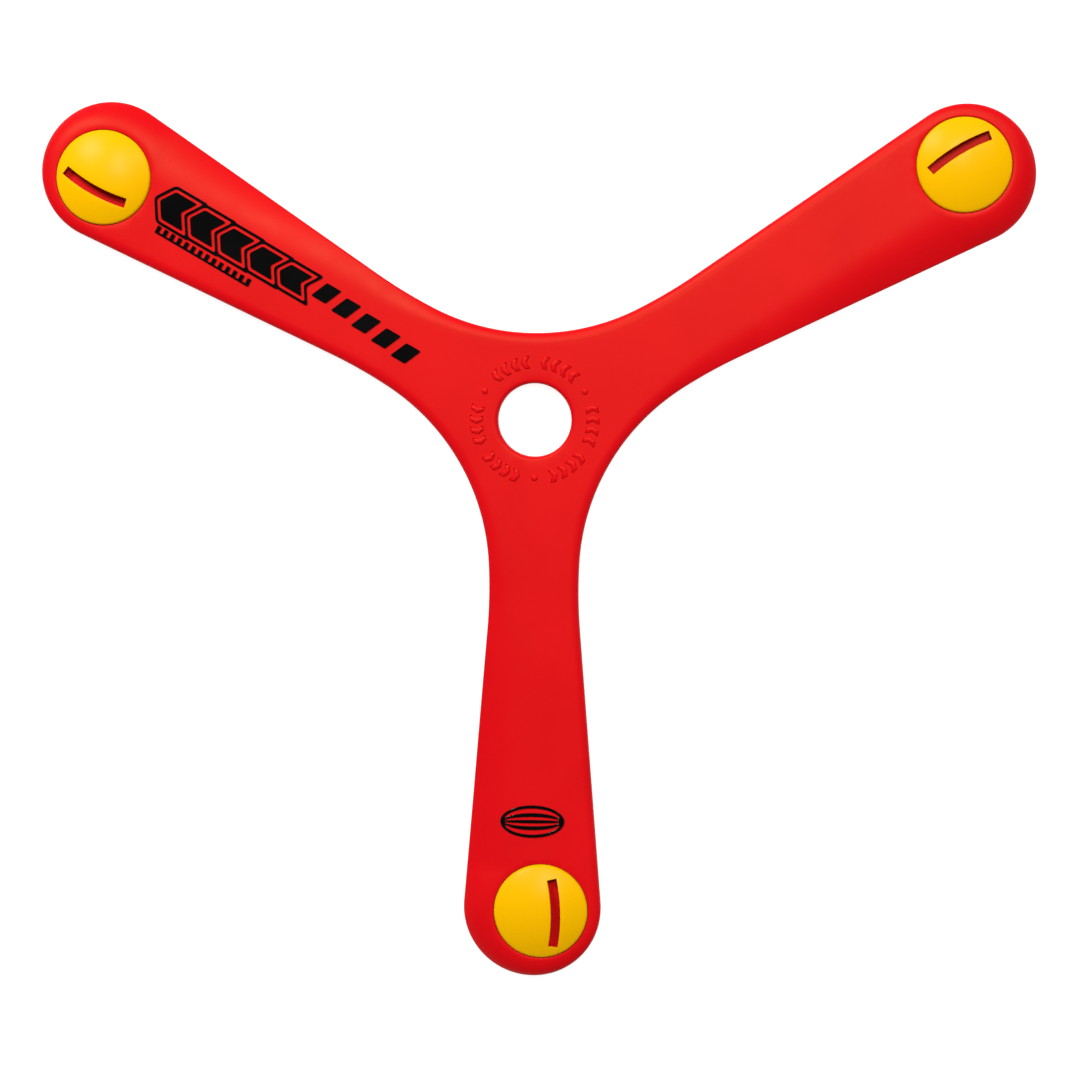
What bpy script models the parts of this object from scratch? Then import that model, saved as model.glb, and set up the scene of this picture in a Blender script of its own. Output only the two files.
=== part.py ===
"""Three-bladed sports boomerang with a whistle in each tip.

One moulded blade carries a finger hole at its hub, three round cups near its
tips and a raised ring of spin marks. A slotted dome cap closes each cup and
makes it whistle. A stamped foil motif lies on one arm and a stamped badge on
another. Units are metres, +Z is up and is the spin axis, and z = 0 is halfway
through the blade. Each arm is laid out in its own frame: x runs outward from the
hub, y points to the leading edge, and the arms are turned copies of it.
"""
import math

import bpy
import bmesh
from mathutils import geometry

# ---------------------------------------------------------------- blade plan
ARM_TURN = 120.0
ARM_ANGLES = (30.0, 150.0, 270.0)
WEB_ANGLES = (90.0, 210.0, 330.0)
BISECTOR = math.radians(60.0)
TIP_X = 0.1479
TIP_RADIUS = 0.02085
TAPER = math.radians(4.7)
WEB_CENTRE = 0.0935
WEB_RADIUS = 0.0674
WAIST_RADIUS = 0.150
FINGER_RADIUS = 0.0110
FINGER_LIP = 0.0012

# ------------------------------------------------------------- blade section
THICKNESS = 0.0048
UPPER = THICKNESS / 2
UNDERSIDE = -THICKNESS / 2
LEADING_EDGE = 0.0031
LEADING_ROUND = 0.0033
TRAILING_EDGE_INNER = 0.0036
TRAILING_EDGE_OUTER = 0.0010
TRAILING_SLOPE_INNER = 0.0048
TRAILING_SLOPE_GROWTH = 0.107
ROOT_X = 0.039
ROOT_BLEND_X = (0.020, 0.055)
TIP_BLEND = math.radians(70.0)
THINNING_X = (0.065, 0.130)
RELIEF = 0.0004
GAP = 0.0003

# ------------------------------------------------------------ whistle in tip
CAP_X = 0.1485
CAP_Y = 0.0027
CAP_RADIUS = 0.0142
CAP_GROOVE = 0.00035
CAP_WALL = 0.0013
CAP_LIP = 0.0004
CAP_RISE = 0.0033
CUP_FLOOR = 0.0032
SLOT_CROWN = (0.0015, 0.0046)
SLOT_BOW_RADIUS = 0.052
SLOT_INBOARD = 0.0115
SLOT_OUTBOARD = 0.0093
SLOT_WIDTH = 0.00285

# ---------------------------------------------------------- foil and markings
SPIN_RADII = (0.0155, 0.0175, 0.0195)
SPIN_HALF_WIDTH = 3.0
SPIN_SWEEP = 3.2
SPIN_PLACES = (-41.0, -30.5, -20.0, -9.5, 9.5, 20.0, 30.5, 41.0)
SPIN_DOT = (0.0173, 0.0010)
FOIL_HEIGHT = 0.0005
CHEVRON_COUNT = 5
CHEVRON_PITCH = 0.0104
CHEVRON_FIRST_X = 0.0835
CHEVRON_HALF_HEIGHT = 0.0046
CHEVRON_SWEEP = 0.0030
OUTLINE_GAP = 0.0009
OUTLINE_LINE = 0.0008
CHEVRON_SHRINK = 0.0003
BAR_COUNT = 5
BAR_PITCH = 0.0074
BAR_FIRST_X = 0.0435
BAR_WIDTH = 0.0050
BAR_DRIFT = (0.0023, -0.0012)
BAR_SLANT = 0.0012
BAR_HALF_HEIGHT = 0.0028
SCALE_X = (0.0945, 0.1270)
SCALE_Y = 0.0085
SCALE_TICKS = 14
SCALE_LINE = 0.0006
SCALE_TICK = (0.0013, 0.0018)
BADGE_X = 0.1212
BADGE_HALF = (0.0049, 0.0097)
BADGE_LINE = 0.0009
BADGE_REACH = 0.921
BADGE_BANDS = ((-1.0, -0.64), (-0.36, -0.12), (0.12, 0.36), (0.64, 1.0))

# ------------------------------------------------- facets, colours and finish
WEB_STEPS = 7
WAIST_STEPS = 3
FLANK_STEPS = 5
TIP_STEPS = 9
HOLE_SIDES = 40
CUP_SIDES = 36
SLOT_STEPS = 6
DOT_SIDES = 8
BADGE_SIDES = 32
BADGE_STEPS = 7
EDGE_RINGS = (0.14, 0.45, 1.0)
LIP_RINGS = (0.35, 1.0)
DOME_RINGS = (0.25, 0.5, 0.72, 0.97)
RED = (0.80, 0.012, 0.016, 1.0)
YELLOW = (1.0, 0.55, 0.0, 1.0)
BLACK = (0.006, 0.005, 0.005, 1.0)


# -------------------------------------------------------------- small helpers
def mix(start, end, amount):
    return start + (end - start) * amount


def smoothstep(low, high, value):
    amount = min(max((value - low) / (high - low), 0.0), 1.0)
    return amount * amount * (3.0 - 2.0 * amount)


def turned(point, degrees):
    angle = math.radians(degrees)
    x, y = point
    return (x * math.cos(angle) - y * math.sin(angle),
            x * math.sin(angle) + y * math.cos(angle))


def arc(centre, radius, start, end, steps):
    """Points of an arc from start to end, in radians, both ends included."""
    angles = [mix(start, end, step / steps) for step in range(steps + 1)]
    return [(centre[0] + radius * math.cos(a), centre[1] + radius * math.sin(a)) for a in angles]


def circle(centre, radius, steps):
    return arc(centre, radius, 0.0, 2.0 * math.pi * (steps - 1) / steps, steps - 1)


# ------------------------------------------------------------- blade outline
def half_arm():
    """Outline of an arm's leading half, from the web's middle to the tip's end."""
    web = (WEB_CENTRE * math.cos(BISECTOR), WEB_CENTRE * math.sin(BISECTOR))
    flank_at_web = TIP_RADIUS / math.cos(TAPER) + math.tan(TAPER) * (web[0] - TIP_X)
    web_to_flank = (web[1] - flank_at_web) * math.cos(TAPER)
    swing = TAPER - math.acos((WAIST_RADIUS - web_to_flank) / (WAIST_RADIUS - WEB_RADIUS))
    lowest = 1.5 * math.pi
    shift = WAIST_RADIUS - WEB_RADIUS
    waist = (web[0] - shift * math.sin(swing), web[1] + shift * math.cos(swing))
    web_arc = arc(web, WEB_RADIUS, math.pi + BISECTOR, lowest + swing, WEB_STEPS)
    waist_arc = arc(waist, WAIST_RADIUS, lowest + swing, lowest + TAPER, WAIST_STEPS)
    tip_arc = arc((TIP_X, 0.0), TIP_RADIUS, math.pi / 2 + TAPER, 0.0, TIP_STEPS)
    start, end = waist_arc[-1], tip_arc[0]
    shares = [step / FLANK_STEPS for step in range(1, FLANK_STEPS)]
    flank = [(mix(start[0], end[0], share), mix(start[1], end[1], share)) for share in shares]
    return web_arc + waist_arc[1:] + flank + tip_arc


def cup_clearance(point, inward):
    """Distance from an edge point straight inward to the cup's wall."""
    radius = CAP_RADIUS + CAP_GROOVE
    to_cup = (CAP_X - point[0], CAP_Y - point[1])
    along = to_cup[0] * inward[0] + to_cup[1] * inward[1]
    off = abs(to_cup[0] * inward[1] - to_cup[1] * inward[0])
    if off >= radius:
        return 1.0
    return along - math.sqrt(radius * radius - off * off)


def edge_section(point, inward):
    """Width, edge thickness and roundness of the section at an outline point."""
    x, y = point
    if x > TIP_X:
        around = math.atan2(y, x - TIP_X)
        trailing = smoothstep(TIP_BLEND, -TIP_BLEND, around)
    elif y < 0.0:
        trailing = smoothstep(*ROOT_BLEND_X, x)
    else:
        trailing = 0.0
    slope = TRAILING_SLOPE_INNER + TRAILING_SLOPE_GROWTH * max(x - ROOT_X, 0.0)
    width = min(mix(LEADING_ROUND, slope, trailing), cup_clearance(point, inward))
    trailing_edge = mix(TRAILING_EDGE_INNER, TRAILING_EDGE_OUTER, smoothstep(*THINNING_X, x))
    return width, mix(LEADING_EDGE, trailing_edge, trailing), mix(2.0, 1.0, trailing)


def blade_outline():
    """The whole outline, counter-clockwise: places, inward normals and sections."""
    half = half_arm()
    arm = [(x, -y) for x, y in half] + half[-2:0:-1]
    places, inwards, sections = [], [], []
    for angle in ARM_ANGLES:
        for index, point in enumerate(arm):
            before = arm[index - 1] if index else turned(half[1], -ARM_TURN)
            after = arm[index + 1] if index + 1 < len(arm) else turned((half[0][0], -half[0][1]), ARM_TURN)
            along = (after[0] - before[0], after[1] - before[1])
            length = math.hypot(*along)
            inward = (-along[1] / length, along[0] / length)
            places.append(turned(point, angle))
            inwards.append(turned(inward, angle))
            sections.append(edge_section(point, inward))
    return places, inwards, sections


OUTLINE, INWARD, SECTIONS = blade_outline()


def blade_height(x, y):
    """Height of the blade's upper surface over a point of its plan."""
    nearest, found = 1.0, SECTIONS[0]
    for index, (bx, by) in enumerate(OUTLINE):
        ax, ay = OUTLINE[index - 1]
        ex, ey = bx - ax, by - ay
        along = min(max(((x - ax) * ex + (y - ay) * ey) / (ex * ex + ey * ey), 0.0), 1.0)
        distance = math.hypot(x - ax - along * ex, y - ay - along * ey)
        if distance < nearest:
            nearest = distance
            found = [mix(a, b, along) for a, b in zip(SECTIONS[index - 1], SECTIONS[index])]
    width, edge, roundness = found
    inside = max(1.0 - nearest / width, 0.0)
    height = UNDERSIDE + edge
    height += (THICKNESS - edge) * max(1.0 - inside * inside, 0.0) ** (1.0 / roundness)
    lip = (FINGER_RADIUS + FINGER_LIP - math.hypot(x, y)) / FINGER_LIP
    if lip > 0.0:
        height -= FINGER_LIP * (1.0 - math.sqrt(max(1.0 - lip * lip, 0.0)))
    return height


# ------------------------------------------------------------- solid modelling
def counter_clockwise(loop):
    area = sum(ax * by - bx * ay for (ax, ay), (bx, by) in zip(loop, [*loop[1:], loop[0]]))
    return list(loop) if area > 0.0 else list(reversed(loop))


def plastic(name, colour, roughness):
    material = bpy.data.materials.get(name) or bpy.data.materials.new(name)
    material.use_nodes = True
    shader = material.node_tree.nodes["Principled BSDF"]
    shader.inputs["Base Color"].default_value = colour
    shader.inputs["Roughness"].default_value = roughness
    shader.inputs["Metallic"].default_value = 0.0
    return material


def solid(name, material, regions, top, bottom, holes=(), creases=(), patches=()):
    """Close the space between two heights over a flat region into one body.

    regions and holes are loops of plan points, and creases are loops that the
    facets follow. A patch is (loop, top, bottom), and gives its own height to
    either face, or None where that face runs on unchanged.
    """
    points, loops, edges = [], [], []
    for loop in [*regions, *holes, *[patch[0] for patch in patches]]:
        loops.append(range(len(points), len(points) + len(loop)))
        points.extend(counter_clockwise(loop))
    for loop in creases:
        first = len(points)
        edges += [(first + i, first + (i + 1) % len(loop)) for i in range(len(loop))]
        points.extend(loop)
    plan, _, triangles, _, _, owners = geometry.delaunay_2d_cdt(points, edges, loops, 0, 1e-7)
    first_hole = len(regions)
    first_patch = first_hole + len(holes)

    kept, patch_left_of = [], {}
    for triangle, owner in zip(triangles, owners):
        in_hole = any(first_hole <= loop < first_patch for loop in owner)
        if in_hole or not any(loop < first_hole for loop in owner):
            continue
        patch = max([loop - first_patch for loop in owner if loop >= first_patch], default=-1)
        kept.append((triangle, patch))
        for a, b in zip(triangle, [*triangle[1:], triangle[0]]):
            patch_left_of[a, b] = patch

    mesh = bmesh.new()
    corners = {}

    def corner(side, index, patch):
        own = patches[patch][side] if patch >= 0 else None
        key = (side, index, patch if own else -1)
        if key not in corners:
            x, y = plan[index]
            height = own or (None, top, bottom)[side]
            corners[key] = mesh.verts.new((x, y, height(x, y)))
        return corners[key]

    for triangle, patch in kept:
        mesh.faces.new([corner(1, index, patch) for index in triangle])
        mesh.faces.new([corner(2, index, patch) for index in reversed(triangle)])
    for (a, b), patch in patch_left_of.items():
        other = patch_left_of.get((b, a))
        if other is None:
            mesh.faces.new((corner(1, b, patch), corner(1, a, patch),
                            corner(2, a, patch), corner(2, b, patch)))
            continue
        for side in (1, 2):
            step = (corner(side, a, patch), corner(side, b, patch),
                    corner(side, b, other), corner(side, a, other))
            if a < b and len(set(step)) == 4:
                mesh.faces.new(step)
    bmesh.ops.recalc_face_normals(mesh, faces=mesh.faces)

    data = bpy.data.meshes.new(name)
    mesh.to_mesh(data)
    mesh.free()
    data.materials.append(material)
    data.shade_smooth()
    data.set_sharp_from_angle(angle=math.radians(30.0))
    thing = bpy.data.objects.new(name, data)
    bpy.context.collection.objects.link(thing)
    return thing


def flat(height):
    return lambda x, y: height


# ------------------------------------------------------------------ the blade
def spin_marks():
    """Raised ring round the finger hole: chevrons that point the way it spins, and dots."""
    inner, middle, outer = SPIN_RADII
    half_width, sweep = SPIN_HALF_WIDTH, SPIN_SWEEP
    shape = ((-half_width, inner), (half_width, inner), (half_width + sweep, middle),
             (half_width, outer), (-half_width, outer), (-half_width + sweep, middle))
    loops = []
    for web_angle in WEB_ANGLES:
        for place in SPIN_PLACES:
            centre = web_angle + place - sweep / 2
            loops.append([turned((radius, 0.0), centre + turn) for turn, radius in shape])
    place, radius = SPIN_DOT
    dots = [circle(turned((place, 0.0), angle), radius, DOT_SIDES) for angle in ARM_ANGLES]
    return loops + dots


def make_blade(material):
    rings = []
    for depth in EDGE_RINGS:
        rings.append([(x + nx * section[0] * depth, y + ny * section[0] * depth)
                      for (x, y), (nx, ny), section in zip(OUTLINE, INWARD, SECTIONS)])
    lip = [circle((0.0, 0.0), FINGER_RADIUS + FINGER_LIP * part, HOLE_SIDES) for part in LIP_RINGS]
    cup_radius = CAP_RADIUS + CAP_GROOVE
    cups = [(circle(turned((CAP_X, CAP_Y), angle), cup_radius, CUP_SIDES), flat(UNDERSIDE + CUP_FLOOR), None)
            for angle in ARM_ANGLES]
    marks = [(loop, flat(UPPER + RELIEF), None) for loop in spin_marks()]
    hole = circle((0.0, 0.0), FINGER_RADIUS, HOLE_SIDES)
    return solid("blade_body", material, [OUTLINE], blade_height, flat(UNDERSIDE),
                 holes=[hole], creases=rings + lip, patches=cups + marks)


# ------------------------------------------------------------- the whistle caps
def slot_outline(angle):
    """Curved slot beside the cap's middle, bowed towards the leading edge."""
    bow = (CAP_X + SLOT_CROWN[0], CAP_Y + SLOT_CROWN[1] - SLOT_BOW_RADIUS)
    start = math.pi / 2 - SLOT_OUTBOARD / SLOT_BOW_RADIUS
    end = math.pi / 2 + SLOT_INBOARD / SLOT_BOW_RADIUS
    outer = arc(bow, SLOT_BOW_RADIUS + SLOT_WIDTH / 2, start, end, SLOT_STEPS)
    inner = arc(bow, SLOT_BOW_RADIUS - SLOT_WIDTH / 2, end, start, SLOT_STEPS)
    return [turned(point, angle) for point in outer + inner]


def make_cap(name, material, angle):
    centre = turned((CAP_X, CAP_Y), angle)
    ball = (CAP_RADIUS ** 2 + CAP_RISE ** 2) / (2.0 * CAP_RISE)
    lip_height = UPPER + CAP_LIP

    def dome(x, y):
        off = (x - centre[0]) ** 2 + (y - centre[1]) ** 2
        return lip_height + math.sqrt(ball ** 2 - off) - (ball - CAP_RISE)

    def ceiling(x, y):
        return dome(x, y) - CAP_WALL

    rings = [circle(centre, CAP_RADIUS * part, CUP_SIDES) for part in DOME_RINGS]
    bore = circle(centre, CAP_RADIUS - CAP_WALL, CUP_SIDES)
    return solid(name, material, [circle(centre, CAP_RADIUS, CUP_SIDES)], dome,
                 flat(UNDERSIDE + CUP_FLOOR + GAP), holes=[slot_outline(angle)],
                 creases=rings, patches=[(bore, None, ceiling)])


# ------------------------------------------------------- stamped foil markings
def foil(name, material, angle, regions, holes=()):
    """A foil print in an arm's frame, standing on the blade's surface."""
    def under(x, y):
        return blade_height(x, y) + GAP

    def over(x, y):
        return blade_height(x, y) + GAP + FOIL_HEIGHT

    placed = [[turned(point, angle) for point in loop] for loop in regions]
    cut = [[turned(point, angle) for point in loop] for loop in holes]
    return solid(name, material, placed, over, under, holes=cut)


def chevron(middle_x, half_height, grow):
    """An arrowhead pointing to the tip, made larger all round by grow.

    Its width lets neighbours share one line of the outline between them.
    """
    lean = math.atan2(CHEVRON_SWEEP, CHEVRON_HALF_HEIGHT)
    shared = OUTLINE_GAP + OUTLINE_LINE / 2
    half = CHEVRON_PITCH / 2 + (grow - shared) / math.cos(lean)
    top = half_height + grow
    back = middle_x - CHEVRON_SWEEP * (top / CHEVRON_HALF_HEIGHT - 0.5)
    point = middle_x + CHEVRON_SWEEP / 2
    return [(back - half, -top), (back + half, -top), (point + half, 0.0),
            (back + half, top), (back - half, top), (point - half, 0.0)]


def bar(middle_x, share):
    """A slanted block, share of the way along its row, which drifts across the arm."""
    left, right = middle_x - BAR_WIDTH / 2, middle_x + BAR_WIDTH / 2
    y = mix(*BAR_DRIFT, share)
    low, high = y - BAR_HALF_HEIGHT, y + BAR_HALF_HEIGHT
    return [(left - BAR_SLANT, low), (right - BAR_SLANT, low),
            (right + BAR_SLANT, high), (left + BAR_SLANT, high)]


def make_motif(material, angle):
    steps = range(CHEVRON_COUNT)
    places = [(CHEVRON_FIRST_X + CHEVRON_PITCH * index,
               CHEVRON_HALF_HEIGHT - CHEVRON_SHRINK * (CHEVRON_COUNT - 1 - index)) for index in steps]
    for number, place in enumerate(places, 1):
        foil(f"motif_chevron_{number}", material, angle, [chevron(*place, 0.0)])
    foil("motif_outline", material, angle,
         [chevron(*place, OUTLINE_GAP + OUTLINE_LINE) for place in places],
         [chevron(*place, OUTLINE_GAP) for place in places])
    for index in range(BAR_COUNT):
        middle = BAR_FIRST_X + BAR_PITCH * index
        foil(f"motif_bar_{index + 1}", material, angle, [bar(middle, index / (BAR_COUNT - 1))])
    make_scale(material, angle)


def make_scale(material, angle):
    """A thin line with short ticks on one side, like a graduated edge."""
    start, end = SCALE_X
    tick, height = SCALE_TICK
    pitch = (end - start - tick) / (SCALE_TICKS - 1)
    teeth = []
    for index in range(SCALE_TICKS):
        left = start + pitch * index
        teeth += [(left, SCALE_Y), (left, SCALE_Y - height), (left + tick, SCALE_Y - height),
                  (left + tick, SCALE_Y)]
    back = [(end, SCALE_Y + SCALE_LINE), (start, SCALE_Y + SCALE_LINE)]
    foil("motif_scale", material, angle, [teeth + back])


def make_badge(material, angle):
    """An oval ring crossed by three bowed bands."""
    along, across = BADGE_HALF
    turns = [2 * math.pi * step / BADGE_SIDES for step in range(BADGE_SIDES)]
    oval = [(BADGE_X + along * math.sin(turn), across * math.cos(turn)) for turn in turns]
    inner_along, inner_across = along - BADGE_LINE, across - BADGE_LINE
    windows = []
    for low, high in BADGE_BANDS:
        window = []
        for bound, way in ((low, 1), (high, -1)):
            for step in range(-BADGE_STEPS, BADGE_STEPS + 1):
                part = way * BADGE_REACH * step / BADGE_STEPS
                chord = math.sqrt(1.0 - part * part)
                window.append((BADGE_X + inner_along * chord * bound, inner_across * part))
        windows.append(window)
    foil("badge", material, angle, [oval], windows)


def clear_scene():
    for thing in list(bpy.data.objects):
        bpy.data.objects.remove(thing, do_unlink=True)


def main():
    clear_scene()
    red = plastic("blade_plastic", RED, 0.42)
    yellow = plastic("cap_plastic", YELLOW, 0.30)
    black = plastic("stamping_foil", BLACK, 0.25)
    make_blade(red)
    for name, angle in zip(("right", "left", "lower"), ARM_ANGLES):
        make_cap(f"whistle_cap_{name}", yellow, angle)
    make_motif(black, ARM_ANGLES[1])
    make_badge(black, ARM_ANGLES[2])


main()
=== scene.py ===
"""Looks of the three-bladed boomerang: a moulded red blade, three slotted domes and stamped foil.

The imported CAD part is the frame. Each piece here is a fine surface of the same
plan and height as the CAD solid that it stands for. Units are metres. Every arm
is laid out in its own frame: x runs outward from the hub, y to the leading edge.
"""
import math

import bpy
import numpy as np
from mathutils import Matrix, Vector, geometry


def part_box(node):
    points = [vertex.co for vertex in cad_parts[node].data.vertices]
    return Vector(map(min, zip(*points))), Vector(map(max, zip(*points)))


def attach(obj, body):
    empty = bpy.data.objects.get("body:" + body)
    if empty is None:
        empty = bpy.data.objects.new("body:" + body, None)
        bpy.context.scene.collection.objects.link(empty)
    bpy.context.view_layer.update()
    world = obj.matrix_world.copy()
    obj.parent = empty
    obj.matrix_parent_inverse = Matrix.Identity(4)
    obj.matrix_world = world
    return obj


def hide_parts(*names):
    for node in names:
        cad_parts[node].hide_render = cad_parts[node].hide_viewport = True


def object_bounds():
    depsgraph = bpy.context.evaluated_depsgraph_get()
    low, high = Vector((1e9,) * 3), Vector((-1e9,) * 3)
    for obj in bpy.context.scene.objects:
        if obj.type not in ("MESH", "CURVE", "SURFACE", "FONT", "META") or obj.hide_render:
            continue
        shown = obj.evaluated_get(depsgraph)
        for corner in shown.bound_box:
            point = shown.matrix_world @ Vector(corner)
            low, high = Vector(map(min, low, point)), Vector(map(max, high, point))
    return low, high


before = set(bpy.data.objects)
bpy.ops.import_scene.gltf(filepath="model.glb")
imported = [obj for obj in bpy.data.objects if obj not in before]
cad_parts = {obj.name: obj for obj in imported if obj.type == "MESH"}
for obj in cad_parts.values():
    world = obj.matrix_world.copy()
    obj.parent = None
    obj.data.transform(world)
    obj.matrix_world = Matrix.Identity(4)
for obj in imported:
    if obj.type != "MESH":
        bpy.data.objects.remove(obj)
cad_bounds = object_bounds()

# ------------------------------------------------- places read from the frame
ARM_TURN = 120.0
ARM_ANGLES = {"right": 30.0, "left": 150.0, "lower": 270.0}
WEB_ANGLES = (90.0, 210.0, 330.0)
blade_low, blade_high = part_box("blade_body")
cap_low, cap_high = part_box("whistle_cap_lower")
RELIEF = 0.0004
UPPER = blade_high.z - RELIEF
UNDERSIDE = blade_low.z
THICKNESS = UPPER - UNDERSIDE
REACH = -blade_low.y
CAP_RADIUS = (cap_high.x - cap_low.x) / 2
CAP_X = -(cap_low.y + cap_high.y) / 2
CAP_Y = (cap_low.x + cap_high.x) / 2
CAP_TOP = cap_high.z
CAP_FOOT = cap_low.z

# -------------------------------------------------------- the blade's own plan
BISECTOR = math.radians(60.0)
TIP_RADIUS = 0.02085
TIP_X = REACH - TIP_RADIUS
TAPER = math.radians(4.7)
WEB_CENTRE = 0.0935
WEB_RADIUS = 0.0674
WAIST_RADIUS = 0.150
FINGER_RADIUS = 0.0110
FINGER_LIP = 0.0012

# ------------------------------------------------------------- blade section
LEADING_EDGE = 0.0031
LEADING_ROUND = 0.0033
TRAILING_EDGE_INNER = 0.0036
TRAILING_EDGE_OUTER = 0.0010
TRAILING_SLOPE_INNER = 0.0048
TRAILING_SLOPE_GROWTH = 0.107
ROOT_X = 0.039
ROOT_BLEND_X = (0.020, 0.055)
TIP_BLEND = math.radians(70.0)
THINNING_X = (0.065, 0.130)
EDGE_ROUNDNESS = (2.0, 1.0)
EASING = 0.0004

# ------------------------------------------------------------ whistle in tip
CAP_GROOVE = 0.00016
CAP_WALL = 0.0013
CAP_RIM_ROUND = 0.0006
CAP_LIP = 0.0004
CUP_FLOOR = 0.0032
CUP_EASING = 0.00025
SLOT_CROWN = (0.0015, 0.0046)
SLOT_BOW_RADIUS = 0.052
SLOT_INBOARD = 0.0115
SLOT_OUTBOARD = 0.0093
SLOT_WIDTH = 0.00285

# ---------------------------------------------------------- foil and markings
SPIN_RADII = (0.0155, 0.0175, 0.0195)
SPIN_HALF_WIDTH = 3.0
SPIN_SWEEP = 3.2
SPIN_PLACES = (-41.0, -30.5, -20.0, -9.5, 9.5, 20.0, 30.5, 41.0)
SPIN_DOT = (0.0173, 0.0010)
FOIL_HEIGHT = 0.00045
FOIL_ROOT = 0.00005
CHEVRON_COUNT = 5
CHEVRON_PITCH = 0.0104
CHEVRON_FIRST_X = 0.0835
CHEVRON_HALF_HEIGHT = 0.0046
CHEVRON_SWEEP = 0.0030
OUTLINE_GAP = 0.0009
OUTLINE_LINE = 0.0008
CHEVRON_SHRINK = 0.0003
BAR_COUNT = 5
BAR_PITCH = 0.0074
BAR_FIRST_X = 0.0435
BAR_WIDTH = 0.0050
BAR_DRIFT = (0.0023, -0.0012)
BAR_SLANT = 0.0012
BAR_HALF_HEIGHT = 0.0028
SCALE_X = (0.0945, 0.1270)
SCALE_Y = 0.0085
SCALE_TICKS = 14
SCALE_LINE = 0.0006
SCALE_TICK = (0.0013, 0.0018)
BADGE_X = 0.1212
BADGE_HALF = (0.0049, 0.0097)
BADGE_LINE = 0.0009
BADGE_REACH = 14.0 / 15.2
BADGE_BANDS = ((-1.0, -0.64), (-0.36, -0.12), (0.12, 0.36), (0.64, 1.0))

# ------------------------------------------------------ fineness of the facets
WEB_STEPS = 20
WAIST_STEPS = 9
FLANK_STEPS = 44
TIP_STEPS = 30
EASING_RINGS = 3
EDGE_RINGS = 8
LIP_RINGS = 5
CUP_RINGS = (0.3, 1.0)
CAP_RIM_RINGS = 6
ROUND_SIDES = 96
DOT_SIDES = 16
SLOT_STEPS = 20
BADGE_SIDES = 64
BADGE_STEPS = 14
GRID_SPACING = 0.0022
GRID_MARGIN = 0.0008
GRID_HUB = (0.0148, 0.0203)
GRID_CUP_MARGIN = 0.0012
DOME_RINGS = 11
DOME_RING_PITCH = 0.0011
DOME_SPACING = 0.0012
SLOT_GUARD = 0.0008
SLOT_CLEARANCE = (0.0004, 0.0005)
EDGE_SHARE = 0.995
SHORTEST_MITRE = 0.35
LONGEST_CORNER = 0.45
MARK_CORNER_STEPS = 3
SCALE_CORNER_STEPS = 2
SHARP_ANGLE = math.radians(40.0)

# -------------------------------------------------------- small worn roundings
MARK_ROUND = 0.0003
MARK_SHOULDERS = ((0.00012, 0.7), (0.00030, 1.0))
SLOT_EDGE_DROP = 0.00012
SLOT_SHOULDERS = ((0.00008, -0.00003), (0.00018, 0.0))
CHEVRON_ROUND = 0.0006
OUTLINE_ROUNDS = (0.0012, 0.0009)
BAR_ROUND = 0.0005
SCALE_ROUND = 0.0002
FOIL_EDGE_ROUND = 0.00012
FOIL_EDGE_STEPS = 2
FOIL_EDGE_ANGLE = math.radians(50.0)

# --------------------------------------------- finishes, floor, light and view
WHITE = (1.0, 1.0, 1.0, 1.0)
RED = ((0.59, 0.0022, 0.0060, 1.0), (0.64, 0.0030, 0.0070, 1.0))
YELLOW = ((0.79, 0.41, 0.0, 1.0), (0.82, 0.43, 0.0, 1.0))
BLACK = ((0.0012, 0.0010, 0.0010, 1.0), (0.0020, 0.0016, 0.0016, 1.0))
WARM_SHEEN = (1.0, 0.80, 0.40, 1.0)
PLASTIC_IOR = 1.49
NOISE_SPAN = (0.3, 0.7)
FLOW_NOISE = (30.0, 4.0)
SHEEN_NOISE = (160.0, 5.0)
SHEEN_SPREAD = 0.03
GRAIN_NOISE = (2600.0, 2.0)
GRAIN_DEPTH = 0.00005
FLOOR_HALF = 3.0
FLOOR_DROP = 0.0001
FLOOR_GREY = (0.30, 0.30, 0.30, 1.0)
FLOOR_ROUGHNESS = 0.85
FLOOR_GLOW = 0.9
EVEN_LIGHT = 0.10
LIGHT_AIM = (0.0, -0.02, 0.0)
SOFTBOXES = {
    "softbox_left": ((-0.75, 1.00, 1.35), (0.45, 0.45), 24.0),
    "softbox_right": ((0.80, 0.85, 1.40), (0.45, 0.45), 5.0),
    "softbox_above": ((0.14, 0.60, 1.65), (0.35, 0.60), 18.8),
}
CAMERA_AIM = (0.00175, -0.03615, 0.0)
CAMERA_DISTANCE = 0.9
CAMERA_LENS = 99.56
CAMERA_SENSOR = 36.0
CAMERA_CLIP = (0.05, 20.0)
CAMERA_LEAN = (2.17, 3.28)
CAMERA_ROLL = 0.00817


# -------------------------------------------------------------- plan geometry
def mix(start, end, amount):
    return start + (end - start) * amount


def smoothstep(low, high, value):
    amount = min(max((value - low) / (high - low), 0.0), 1.0)
    return amount * amount * (3.0 - 2.0 * amount)


def turned(point, degrees):
    angle = math.radians(degrees)
    x, y = point
    return (x * math.cos(angle) - y * math.sin(angle),
            x * math.sin(angle) + y * math.cos(angle))


def turned_loop(loop, degrees):
    return [turned(point, degrees) for point in loop]


def arc(centre, radius, start, end, steps):
    """Points of an arc from start to end, in radians, both ends included."""
    angles = [mix(start, end, step / steps) for step in range(steps + 1)]
    return [(centre[0] + radius * math.cos(a), centre[1] + radius * math.sin(a)) for a in angles]


def circle(centre, radius, steps):
    return arc(centre, radius, 0.0, 2.0 * math.pi * (steps - 1) / steps, steps - 1)


def counter_clockwise(loop):
    area = sum(ax * by - bx * ay for (ax, ay), (bx, by) in zip(loop, [*loop[1:], loop[0]]))
    return list(loop) if area > 0.0 else list(reversed(loop))


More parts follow.
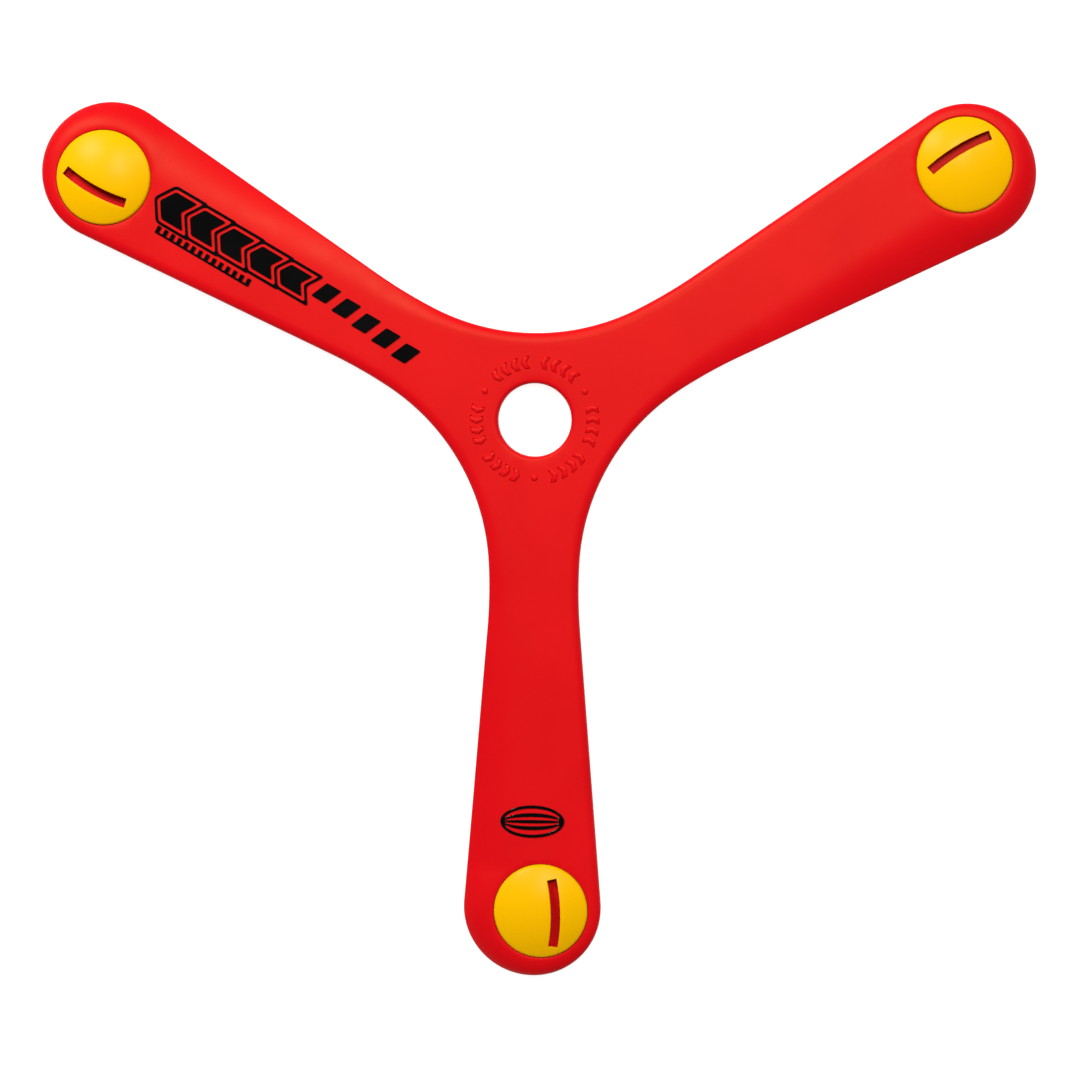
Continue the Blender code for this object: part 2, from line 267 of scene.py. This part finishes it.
def grown(loop, distance):
    """A loop moved outward by distance along its corners' mitres; inward if negative."""
    loop = counter_clockwise(loop)
    out = []
    for before, here, after in zip([loop[-1], *loop[:-1]], loop, [*loop[1:], loop[0]]):
        first = Vector(here) - Vector(before)
        second = Vector(after) - Vector(here)
        normal_a = Vector((first.y, -first.x)).normalized()
        normal_b = Vector((second.y, -second.x)).normalized()
        mitre = (normal_a + normal_b).normalized()
        step = distance / max(mitre.dot(normal_a), SHORTEST_MITRE)
        out.append((here[0] + mitre.x * step, here[1] + mitre.y * step))
    return out


def rounded(loop, radius, steps=4):
    """A loop whose corners are replaced by short curves of about this radius."""
    loop = counter_clockwise(loop)
    out = []
    for before, here, after in zip([loop[-1], *loop[:-1]], loop, [*loop[1:], loop[0]]):
        corner = Vector(here)
        back, ahead = Vector(before) - corner, Vector(after) - corner
        reach = min(radius, back.length * LONGEST_CORNER, ahead.length * LONGEST_CORNER)
        start, end = corner + back.normalized() * reach, corner + ahead.normalized() * reach
        for step in range(steps + 1):
            t = step / steps
            point = start * (1 - t) ** 2 + corner * 2 * t * (1 - t) + end * t ** 2
            out.append((point.x, point.y))
    return out


def half_arm():
    """Outline of an arm's leading half, from the web's middle to the tip's end."""
    web = (WEB_CENTRE * math.cos(BISECTOR), WEB_CENTRE * math.sin(BISECTOR))
    flank_at_web = TIP_RADIUS / math.cos(TAPER) + math.tan(TAPER) * (web[0] - TIP_X)
    web_to_flank = (web[1] - flank_at_web) * math.cos(TAPER)
    swing = TAPER - math.acos((WAIST_RADIUS - web_to_flank) / (WAIST_RADIUS - WEB_RADIUS))
    lowest = 1.5 * math.pi
    shift = WAIST_RADIUS - WEB_RADIUS
    waist = (web[0] - shift * math.sin(swing), web[1] + shift * math.cos(swing))
    web_arc = arc(web, WEB_RADIUS, math.pi + BISECTOR, lowest + swing, WEB_STEPS)
    waist_arc = arc(waist, WAIST_RADIUS, lowest + swing, lowest + TAPER, WAIST_STEPS)
    tip_arc = arc((TIP_X, 0.0), TIP_RADIUS, math.pi / 2 + TAPER, 0.0, TIP_STEPS)
    start, end = waist_arc[-1], tip_arc[0]
    shares = [step / FLANK_STEPS for step in range(1, FLANK_STEPS)]
    flank = [(mix(start[0], end[0], share), mix(start[1], end[1], share)) for share in shares]
    return web_arc + waist_arc[1:] + flank + tip_arc


def cup_clearance(point, inward):
    """Distance from an edge point straight inward to the cup's wall."""
    radius = CAP_RADIUS + CAP_GROOVE
    to_cup = (CAP_X - point[0], CAP_Y - point[1])
    along = to_cup[0] * inward[0] + to_cup[1] * inward[1]
    off = abs(to_cup[0] * inward[1] - to_cup[1] * inward[0])
    if off >= radius:
        return 1.0
    return along - math.sqrt(radius * radius - off * off)


def edge_section(point, inward):
    """Width, edge thickness and roundness of the section at an outline point, and its easing."""
    x, y = point
    if x > TIP_X:
        around = math.atan2(y, x - TIP_X)
        trailing = smoothstep(TIP_BLEND, -TIP_BLEND, around)
    elif y < 0.0:
        trailing = smoothstep(*ROOT_BLEND_X, x)
    else:
        trailing = 0.0
    slope = TRAILING_SLOPE_INNER + TRAILING_SLOPE_GROWTH * max(x - ROOT_X, 0.0)
    width = min(mix(LEADING_ROUND, slope, trailing), cup_clearance(point, inward))
    trailing_edge = mix(TRAILING_EDGE_INNER, TRAILING_EDGE_OUTER, smoothstep(*THINNING_X, x))
    return (width, mix(LEADING_EDGE, trailing_edge, trailing), mix(*EDGE_ROUNDNESS, trailing),
            EASING * trailing)


def blade_outline():
    """The whole outline, counter-clockwise: places, inward normals and sections."""
    half = half_arm()
    arm = [(x, -y) for x, y in half] + half[-2:0:-1]
    next_arm = turned((half[0][0], -half[0][1]), ARM_TURN)
    last_arm = turned(half[1], -ARM_TURN)
    places, inwards, sections = [], [], []
    for angle in ARM_ANGLES.values():
        for index, point in enumerate(arm):
            before = arm[index - 1] if index else last_arm
            after = arm[index + 1] if index + 1 < len(arm) else next_arm
            along = (after[0] - before[0], after[1] - before[1])
            length = math.hypot(*along)
            inward = (-along[1] / length, along[0] / length)
            places.append(turned(point, angle))
            inwards.append(turned(inward, angle))
            sections.append(edge_section(point, inward))
    return np.array(places), np.array(inwards), np.array(sections)


OUTLINE, INWARD, SECTIONS = blade_outline()


def from_edge(points):
    """Each point's distance from the blade's outline, and the section there."""
    ahead = np.roll(OUTLINE, -1, axis=0) - OUTLINE
    later = np.roll(SECTIONS, -1, axis=0)
    squares = (ahead ** 2).sum(1)
    distances, sections = [], []
    for part in np.array_split(points, max(1, len(points) // 2000)):
        away = part[:, None, :] - OUTLINE[None]
        along = np.clip((away * ahead).sum(2) / squares, 0.0, 1.0)
        gaps = np.hypot(away[..., 0] - along * ahead[:, 0], away[..., 1] - along * ahead[:, 1])
        best = gaps.argmin(1)
        rows = np.arange(len(part))
        distances.append(gaps[rows, best])
        share = along[rows, best][:, None]
        sections.append(SECTIONS[best] * (1 - share) + later[best] * share)
    return np.concatenate(distances), np.concatenate(sections)


def roll_off(inside, radius):
    """How far a rounded edge has dropped at a distance inside it."""
    short = np.clip(1.0 - inside / np.maximum(radius, 1e-9), 0.0, 1.0)
    return radius * (1.0 - np.sqrt(1.0 - short ** 2))


def blade_top(points):
    distance, sections = from_edge(points)
    width, edge, roundness, easing = sections.T
    inside = np.clip(1.0 - distance / width, 0.0, 1.0)
    height = UNDERSIDE + edge + (THICKNESS - edge) * (1.0 - inside ** 2) ** (1.0 / roundness)
    height -= roll_off(distance, easing)
    height -= roll_off(np.hypot(*points.T) - FINGER_RADIUS, FINGER_LIP)
    for angle in ARM_ANGLES.values():
        away = points - np.array(turned((CAP_X, CAP_Y), angle))
        height -= roll_off(np.hypot(*away.T) - CAP_RADIUS - CAP_GROOVE, CUP_EASING)
    return height


def blade_bottom(points):
    distance, _ = from_edge(points)
    rise = UNDERSIDE + roll_off(distance, EASING)
    return rise + roll_off(np.hypot(*points.T) - FINGER_RADIUS, EASING)


# ------------------------------------------------------------- solid modelling
def solid(name, regions, top, bottom, holes=(), creases=(), free=(), patches=(), hole_lift=0.0):
    """Close the space between two height fields over a flat region into one surface.

    regions and holes are loops of plan points. creases are (loop, lift) pairs:
    the facets follow the loop, and its points rise by lift. A patch is (loop,
    top, bottom), and gives its own height to either face, or None.
    """
    points, loops, edges, lifts = [], [], [], []
    kinds = [(loop, 0.0) for loop in regions] + [(loop, hole_lift) for loop in holes]
    kinds += [(patch[0], 0.0) for patch in patches]
    for loop, lift in kinds:
        loops.append(range(len(points), len(points) + len(loop)))
        points.extend(counter_clockwise(loop))
        lifts.extend([lift] * len(loop))
    for loop, lift in creases:
        first = len(points)
        edges += [(first + i, first + (i + 1) % len(loop)) for i in range(len(loop))]
        points.extend(loop)
        lifts.extend([lift] * len(loop))
    points.extend(free)
    lifts.extend([0.0] * len(free))
    plan, _, triangles, origins, _, owners = geometry.delaunay_2d_cdt(points, edges, loops, 0, 1e-7)
    lift_of = [lifts[origin[0]] if origin else 0.0 for origin in origins]
    first_hole = len(regions)
    first_patch = first_hole + len(holes)

    flat = np.array([tuple(point) for point in plan])
    heights = {(1, -1): top(flat) + np.array(lift_of), (2, -1): bottom(flat)}
    for index, patch in enumerate(patches):
        for side in (1, 2):
            if patch[side]:
                heights[side, index] = patch[side](flat)

    faces, vertices, corners, patch_left_of = [], [], {}, {}

    def corner(side, index, patch):
        key = (side, index, patch if (side, patch) in heights else -1)
        if key not in corners:
            corners[key] = len(vertices)
            vertices.append((*flat[index], heights[side, key[2]][index]))
        return corners[key]

    for triangle, owner in zip(triangles, owners):
        in_hole = any(first_hole <= loop < first_patch for loop in owner)
        if in_hole or not any(loop < first_hole for loop in owner):
            continue
        patch = max([loop - first_patch for loop in owner if loop >= first_patch], default=-1)
        faces.append([corner(1, index, patch) for index in triangle])
        faces.append([corner(2, index, patch) for index in reversed(triangle)])
        for a, b in zip(triangle, [*triangle[1:], triangle[0]]):
            patch_left_of[a, b] = patch
    for (a, b), patch in patch_left_of.items():
        other = patch_left_of.get((b, a))
        if other is None:
            faces.append([corner(1, b, patch), corner(1, a, patch),
                          corner(2, a, patch), corner(2, b, patch)])
        elif other != patch and a < b:
            steps = [[corner(1, b, patch), corner(1, a, patch), corner(1, a, other), corner(1, b, other)],
                     [corner(2, a, patch), corner(2, b, patch), corner(2, b, other), corner(2, a, other)]]
            faces += [step for step in steps if len(set(step)) == 4]

    mesh = bpy.data.meshes.new(name)
    mesh.from_pydata(vertices, [], faces)
    mesh.shade_smooth()
    mesh.set_sharp_from_angle(angle=SHARP_ANGLE)
    piece = bpy.data.objects.new(name, mesh)
    bpy.context.scene.collection.objects.link(piece)
    return piece


def flat_at(height):
    return lambda points: np.full(len(points), height)


def stands_for(piece, node, material):
    piece.data.materials.append(material)
    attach(piece, "root")
    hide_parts(node)
    return piece


# ------------------------------------------------------------------ the blade
def spin_marks():
    """Raised ring round the finger hole: chevrons that point the way it spins, and dots."""
    inner, middle, outer = SPIN_RADII
    half_width, sweep = SPIN_HALF_WIDTH, SPIN_SWEEP
    shape = ((-half_width, inner), (half_width, inner), (half_width + sweep, middle),
             (half_width, outer), (-half_width, outer), (-half_width + sweep, middle))
    loops = []
    for web_angle in WEB_ANGLES:
        for place in SPIN_PLACES:
            centre = web_angle + place - sweep / 2
            loops.append([turned((radius, 0.0), centre + turn) for turn, radius in shape])
    loops = [rounded(loop, MARK_ROUND, MARK_CORNER_STEPS) for loop in loops]
    reach, radius = SPIN_DOT
    dots = [circle(turned((reach, 0.0), angle), radius, DOT_SIDES) for angle in ARM_ANGLES.values()]
    return loops + dots


def quarter_round(steps):
    """Shares of a rounding's width at even turns of its quarter circle."""
    return [1.0 - math.cos(math.pi / 2 * step / steps) for step in range(1, steps + 1)]


def blade_creases():
    """Loops that keep the facets fine where the surface bends."""
    creases = []
    width = SECTIONS[:, 0]
    for share in quarter_round(EASING_RINGS):
        depth = EASING * share
        creases.append((OUTLINE + INWARD * depth, 0.0))
    for share in quarter_round(EDGE_RINGS):
        depth = EASING + (width - EASING) * share * EDGE_SHARE
        creases.append((OUTLINE + INWARD * depth[:, None], 0.0))
    for share in quarter_round(LIP_RINGS):
        creases.append((circle((0.0, 0.0), FINGER_RADIUS + FINGER_LIP * share, ROUND_SIDES), 0.0))
    for angle in ARM_ANGLES.values():
        centre = turned((CAP_X, CAP_Y), angle)
        for share in CUP_RINGS:
            radius = CAP_RADIUS + CAP_GROOVE + CUP_EASING * share
            creases.append((circle(centre, radius, ROUND_SIDES), 0.0))
    creases = [([tuple(point) for point in loop], lift) for loop, lift in creases]
    for loop in spin_marks():
        creases.append((loop, 0.0))
        creases += [(grown(loop, -inset), RELIEF * share) for inset, share in MARK_SHOULDERS]
    return creases


def blade_grid():
    """Even points over the flat middle of the blade, clear of its edges, cups and marks."""
    xs = np.arange(blade_low.x, blade_high.x, GRID_SPACING)
    ys = np.arange(blade_low.y, blade_high.y, GRID_SPACING * math.sqrt(3) / 2)
    grid = np.array([(x + (row % 2) * GRID_SPACING / 2, y) for row, y in enumerate(ys) for x in xs])
    hub = np.hypot(*grid.T)
    inner, outer = GRID_HUB
    grid = grid[(hub > outer) | ((hub > FINGER_RADIUS + FINGER_LIP + GRID_MARGIN) & (hub < inner))]
    for angle in ARM_ANGLES.values():
        away = grid - np.array(turned((CAP_X, CAP_Y), angle))
        grid = grid[np.hypot(*away.T) > CAP_RADIUS + GRID_CUP_MARGIN]
    grid = grid[inside_outline(grid)]
    distance, sections = from_edge(grid)
    grid = grid[distance > sections[:, 0] + GRID_MARGIN]
    return [tuple(point) for point in grid]


def inside_outline(points):
    """Which points lie inside the blade's outline, by counting crossings."""
    start, end = OUTLINE, np.roll(OUTLINE, -1, axis=0)
    count = np.zeros(len(points), int)
    for (ax, ay), (bx, by) in zip(start, end):
        straddles = (points[:, 1] > ay) != (points[:, 1] > by)
        if ay != by:
            crossing = ax + (points[:, 1] - ay) / (by - ay) * (bx - ax)
            count += straddles & (points[:, 0] < crossing)
    return count % 2 == 1


def make_blade(material):
    cup_radius = CAP_RADIUS + CAP_GROOVE
    floor = flat_at(UNDERSIDE + CUP_FLOOR)
    cups = [(circle(turned((CAP_X, CAP_Y), angle), cup_radius, ROUND_SIDES), floor, None)
            for angle in ARM_ANGLES.values()]
    outline = [tuple(point) for point in OUTLINE]
    hole = circle((0.0, 0.0), FINGER_RADIUS, ROUND_SIDES)
    blade = solid("blade", [outline], blade_top, blade_bottom, holes=[hole],
                  creases=blade_creases(), free=blade_grid(), patches=cups)
    stands_for(blade, "blade_body", material)


# ------------------------------------------------------------ the whistle caps
def slot_outline():
    """Curved slot beside the cap's middle, bowed towards the leading edge."""
    bow = (CAP_X + SLOT_CROWN[0], CAP_Y + SLOT_CROWN[1] - SLOT_BOW_RADIUS)
    start = math.pi / 2 - SLOT_OUTBOARD / SLOT_BOW_RADIUS
    end = math.pi / 2 + SLOT_INBOARD / SLOT_BOW_RADIUS
    outer = arc(bow, SLOT_BOW_RADIUS + SLOT_WIDTH / 2, start, end, SLOT_STEPS)
    inner = arc(bow, SLOT_BOW_RADIUS - SLOT_WIDTH / 2, end, start, SLOT_STEPS)
    return outer + inner


def in_slot(point, angle):
    """Whether a plan point lies in a cap's slot or just beside it."""
    x, y = turned(point, -angle)
    along = x - CAP_X - SLOT_CROWN[0]
    off = math.hypot(along, y - (CAP_Y + SLOT_CROWN[1] - SLOT_BOW_RADIUS)) - SLOT_BOW_RADIUS
    beside, beyond = SLOT_CLEARANCE
    return abs(off) < SLOT_WIDTH / 2 + beside and -SLOT_INBOARD - beyond < along < SLOT_OUTBOARD + beyond


def dome_points(centre, slot, angle):
    """Points on rings over the dome, clear of its slot."""
    points = [centre]
    for ring in range(1, DOME_RINGS + 1):
        radius = DOME_RING_PITCH * ring
        points += circle(centre, radius, max(6, round(2 * math.pi * radius / DOME_SPACING)))
    edge = np.array(slot)
    return [point for point in points
            if np.hypot(*(edge - np.array(point)).T).min() > SLOT_GUARD and not in_slot(point, angle)]


def make_cap(side, angle, material):
    centre = turned((CAP_X, CAP_Y), angle)
    lip_height = UPPER + CAP_LIP
    rise = CAP_TOP - lip_height
    ball = (CAP_RADIUS ** 2 + rise ** 2) / (2.0 * rise)

    def dome(points):
        off = np.hypot(*(points - np.array(centre)).T)
        sphere = lip_height + np.sqrt(ball ** 2 - off ** 2) - (ball - rise)
        return sphere - roll_off(CAP_RADIUS - off, CAP_RIM_ROUND)

    def ceiling(points):
        return dome(points) - CAP_WALL

    creases = [(circle(centre, CAP_RADIUS - CAP_RIM_ROUND * share, ROUND_SIDES), 0.0)
               for share in quarter_round(CAP_RIM_RINGS)]
    slot = turned_loop(slot_outline(), angle)
    creases += [(grown(slot, outset), lift) for outset, lift in SLOT_SHOULDERS]
    bore = circle(centre, CAP_RADIUS - CAP_WALL, ROUND_SIDES)
    cap = solid(f"whistle_dome_{side}", [circle(centre, CAP_RADIUS, ROUND_SIDES)], dome, flat_at(CAP_FOOT),
                holes=[slot], creases=creases, free=dome_points(centre, slot, angle),
                patches=[(bore, None, ceiling)], hole_lift=-SLOT_EDGE_DROP)
    stands_for(cap, f"whistle_cap_{side}", material)


# ------------------------------------------------------- stamped foil markings
def foil(name, node, angle, material, regions, holes=()):
    """A raised foil mark laid out in an arm's frame, standing on the blade's surface."""
    def over(points):
        return blade_top(points) + FOIL_HEIGHT

    def under(points):
        return blade_top(points) - FOIL_ROOT

    mark = solid(name, [turned_loop(loop, angle) for loop in regions], over, under,
                 holes=[turned_loop(loop, angle) for loop in holes])
    bevel = mark.modifiers.new("worn_edge", "BEVEL")
    bevel.width = FOIL_EDGE_ROUND
    bevel.segments = FOIL_EDGE_STEPS
    bevel.limit_method = "ANGLE"
    bevel.angle_limit = FOIL_EDGE_ANGLE
    stands_for(mark, node, material)


def chevron(middle_x, half_height, grow):
    """An arrowhead pointing to the tip, made larger all round by grow."""
    lean = math.atan2(CHEVRON_SWEEP, CHEVRON_HALF_HEIGHT)
    shared = OUTLINE_GAP + OUTLINE_LINE / 2
    half = CHEVRON_PITCH / 2 + (grow - shared) / math.cos(lean)
    top = half_height + grow
    back = middle_x - CHEVRON_SWEEP * (top / CHEVRON_HALF_HEIGHT - 0.5)
    point = middle_x + CHEVRON_SWEEP / 2
    return [(back - half, -top), (back + half, -top), (point + half, 0.0),
            (back + half, top), (back - half, top), (point - half, 0.0)]


def bar(middle_x, share):
    """A slanted block, share of the way along its row, which drifts across the arm."""
    left, right = middle_x - BAR_WIDTH / 2, middle_x + BAR_WIDTH / 2
    y = mix(*BAR_DRIFT, share)
    low, high = y - BAR_HALF_HEIGHT, y + BAR_HALF_HEIGHT
    return [(left - BAR_SLANT, low), (right - BAR_SLANT, low),
            (right + BAR_SLANT, high), (left + BAR_SLANT, high)]


def make_motif(angle, material):
    steps = range(CHEVRON_COUNT)
    places = [(CHEVRON_FIRST_X + CHEVRON_PITCH * index,
               CHEVRON_HALF_HEIGHT - CHEVRON_SHRINK * (CHEVRON_COUNT - 1 - index)) for index in steps]
    for number, place in enumerate(places, 1):
        shape = rounded(chevron(*place, 0.0), CHEVRON_ROUND)
        foil(f"chevron_{number}", f"motif_chevron_{number}", angle, material, [shape])
    outer_round, inner_round = OUTLINE_ROUNDS
    foil("chevron_outline", "motif_outline", angle, material,
         [rounded(chevron(*place, OUTLINE_GAP + OUTLINE_LINE), outer_round) for place in places],
         [rounded(chevron(*place, OUTLINE_GAP), inner_round) for place in places])
    for index in range(BAR_COUNT):
        middle = BAR_FIRST_X + BAR_PITCH * index
        shape = rounded(bar(middle, index / (BAR_COUNT - 1)), BAR_ROUND)
        foil(f"bar_{index + 1}", f"motif_bar_{index + 1}", angle, material, [shape])
    make_scale(angle, material)


def make_scale(angle, material):
    """A thin line with short ticks on one side, like a graduated edge."""
    start, end = SCALE_X
    tick, height = SCALE_TICK
    pitch = (end - start - tick) / (SCALE_TICKS - 1)
    teeth = []
    for index in range(SCALE_TICKS):
        left = start + pitch * index
        teeth += [(left, SCALE_Y), (left, SCALE_Y - height), (left + tick, SCALE_Y - height),
                  (left + tick, SCALE_Y)]
    back = [(end, SCALE_Y + SCALE_LINE), (start, SCALE_Y + SCALE_LINE)]
    foil("scale", "motif_scale", angle, material, [rounded(teeth + back, SCALE_ROUND, SCALE_CORNER_STEPS)])


def make_badge(angle, material):
    """An oval ring crossed by three bowed bands."""
    along, across = BADGE_HALF
    inner_along, inner_across = along - BADGE_LINE, across - BADGE_LINE
    turns = [2 * math.pi * step / BADGE_SIDES for step in range(BADGE_SIDES)]
    oval = [(BADGE_X + along * math.cos(turn), across * math.sin(turn)) for turn in turns]
    windows = []
    for low, high in BADGE_BANDS:
        window = []
        for bound, way in ((low, 1), (high, -1)):
            for step in range(-BADGE_STEPS, BADGE_STEPS + 1):
                part = way * BADGE_REACH * step / BADGE_STEPS
                chord = math.sqrt(1.0 - part * part)
                window.append((BADGE_X + inner_along * chord * bound, inner_across * part))
        windows.append(window)
    foil("badge_mark", "badge", angle, material, [oval], windows)


# ------------------------------------------------------------------- materials
def new_material(name):
    material = bpy.data.materials.new(name)
    material.use_nodes = True
    nodes = material.node_tree.nodes
    return material, nodes, material.node_tree.links, nodes["Principled BSDF"]


def noise(nodes, links, coordinates, scale, detail):
    texture = nodes.new("ShaderNodeTexNoise")
    texture.inputs["Scale"].default_value = scale
    texture.inputs["Detail"].default_value = detail
    links.new(coordinates, texture.inputs["Vector"])
    return texture.outputs["Fac"]


def ramp(nodes, links, value, low, high):
    """Map noise to a number between low and high."""
    node = nodes.new("ShaderNodeMapRange")
    for socket, level in zip(("From Min", "From Max", "To Min", "To Max"), (*NOISE_SPAN, low, high)):
        node.inputs[socket].default_value = level
    links.new(value, node.inputs["Value"])
    return node.outputs["Result"]


def colour_between(nodes, links, value, first, second):
    node = nodes.new("ShaderNodeMix")
    node.data_type = "RGBA"
    node.inputs["A"].default_value = first
    node.inputs["B"].default_value = second
    links.new(value, node.inputs["Factor"])
    return node.outputs["Result"]


def moulded_plastic(name, colours, roughness, grain, gloss, gloss_tint=WHITE):
    """Moulded plastic: faint flow in its colour, uneven sheen and a fine grain."""
    material, nodes, links, shader = new_material(name)
    place = nodes.new("ShaderNodeTexCoord").outputs["Object"]
    flow = ramp(nodes, links, noise(nodes, links, place, *FLOW_NOISE), 0.0, 1.0)
    links.new(colour_between(nodes, links, flow, *colours), shader.inputs["Base Color"])
    uneven = noise(nodes, links, place, *SHEEN_NOISE)
    sheen = ramp(nodes, links, uneven, roughness - SHEEN_SPREAD, roughness + SHEEN_SPREAD)
    links.new(sheen, shader.inputs["Roughness"])
    fine = noise(nodes, links, place, *GRAIN_NOISE)
    bump = nodes.new("ShaderNodeBump")
    bump.inputs["Strength"].default_value = grain
    bump.inputs["Distance"].default_value = GRAIN_DEPTH
    links.new(fine, bump.inputs["Height"])
    links.new(bump.outputs["Normal"], shader.inputs["Normal"])
    shader.inputs["Specular IOR Level"].default_value = gloss
    shader.inputs["Specular Tint"].default_value = gloss_tint
    shader.inputs["IOR"].default_value = PLASTIC_IOR
    return material


# ---------------------------------------------------------- floor, light, view
def make_floor():
    mesh = bpy.data.meshes.new("floor")
    half, level = FLOOR_HALF, cad_bounds[0].z - FLOOR_DROP
    mesh.from_pydata([(-half, -half, level), (half, -half, level), (half, half, level),
                      (-half, half, level)], [], [(0, 1, 2, 3)])
    floor = bpy.data.objects.new("floor", mesh)
    bpy.context.scene.collection.objects.link(floor)
    material, _, _, shader = new_material("pale_floor")
    shader.inputs["Base Color"].default_value = FLOOR_GREY
    shader.inputs["Roughness"].default_value = FLOOR_ROUGHNESS
    shader.inputs["Emission Color"].default_value = WHITE
    shader.inputs["Emission Strength"].default_value = FLOOR_GLOW
    mesh.materials.append(material)


def make_softbox(name, place, size, power):
    data = bpy.data.lights.new(name, "AREA")
    data.shape = "RECTANGLE"
    data.size, data.size_y = size
    data.energy = power
    light = bpy.data.objects.new(name, data)
    light.location = place
    light.rotation_mode = "QUATERNION"
    light.rotation_quaternion = (Vector(LIGHT_AIM) - Vector(place)).to_track_quat("-Z", "Y")
    bpy.context.scene.collection.objects.link(light)


def make_camera():
    """Overhead view, leaning a little, with the picture's right turned by CAMERA_ROLL."""
    lean_x, lean_y = (math.tan(math.radians(angle)) for angle in CAMERA_LEAN)
    back = Vector((lean_x, lean_y, 1.0)).normalized()
    right = Vector((math.cos(CAMERA_ROLL), math.sin(CAMERA_ROLL), 0.0))
    right = (right - back * right.dot(back)).normalized()
    up = back.cross(right)
    data = bpy.data.cameras.new("camera")
    data.sensor_width = CAMERA_SENSOR
    data.lens = CAMERA_LENS
    data.clip_start, data.clip_end = CAMERA_CLIP
    camera = bpy.data.objects.new("camera", data)
    rotation = Matrix((right, up, back)).transposed().to_4x4()
    camera.matrix_world = Matrix.Translation(Vector(CAMERA_AIM) + back * CAMERA_DISTANCE) @ rotation
    bpy.context.scene.collection.objects.link(camera)
    bpy.context.scene.camera = camera


def make_studio():
    scene = bpy.context.scene
    world = bpy.data.worlds.new("studio")
    world.use_nodes = True
    world.node_tree.nodes["Background"].inputs["Color"].default_value = WHITE
    world.node_tree.nodes["Background"].inputs["Strength"].default_value = EVEN_LIGHT
    scene.world = world
    scene.view_settings.view_transform = "Standard"
    scene.view_settings.look = "None"
    scene.view_settings.exposure = 0.0
    scene.view_settings.gamma = 1.0
    make_floor()
    for name, (place, size, power) in SOFTBOXES.items():
        make_softbox(name, place, size, power)
    make_camera()


def main():
    red = moulded_plastic("blade_plastic", RED, roughness=0.40, grain=0.10, gloss=0.11, gloss_tint=WARM_SHEEN)
    yellow = moulded_plastic("cap_plastic", YELLOW, roughness=0.30, grain=0.04, gloss=0.06)
    black = moulded_plastic("stamping_foil", BLACK, roughness=0.14, grain=0.06, gloss=0.20)
    make_blade(red)
    for side, angle in ARM_ANGLES.items():
        make_cap(side, angle, yellow)
    make_motif(ARM_ANGLES["left"], black)
    make_badge(ARM_ANGLES["lower"], black)
    make_studio()


main()
